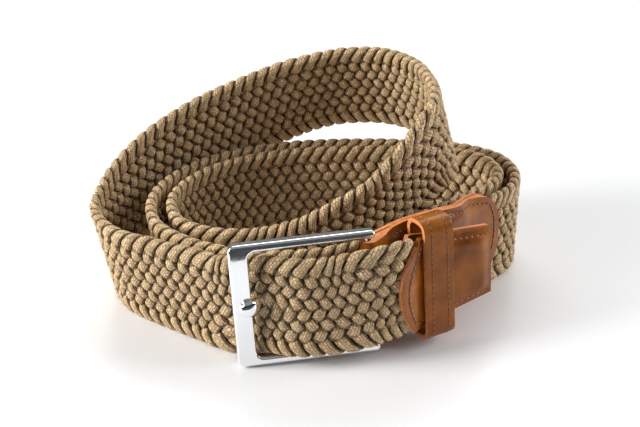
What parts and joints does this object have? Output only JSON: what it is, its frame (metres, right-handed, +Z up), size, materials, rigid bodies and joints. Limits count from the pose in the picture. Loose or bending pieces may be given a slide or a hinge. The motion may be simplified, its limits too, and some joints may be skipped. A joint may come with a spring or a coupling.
{
  "type": "braided belt",
  "caption": "Braided strap belt with a framed prong buckle, leather tab, keeper and tip, fastened and coiled standing on its edge.",
  "frame": {"origin": "under the middle of the coiled belt's bounding box, on the surface it stands on", "axes": "+Z up, +X along the coil's length, -Y out of the buckle's face"},
  "size_m": [0.154, 0.118, 0.0727],
  "materials": {
    "braid": "matte heathered cord",
    "leather": "glossy chestnut with raw tan edges",
    "metal": "polished"
  },
  "bodies": {
    "root": {"braided_strap": "braid", "buckle_frame": "metal", "prong": "metal", "buckle_tab": "leather", "strap_tip": "leather", "keeper_loop": "leather"}
  },
  "joints": []
}
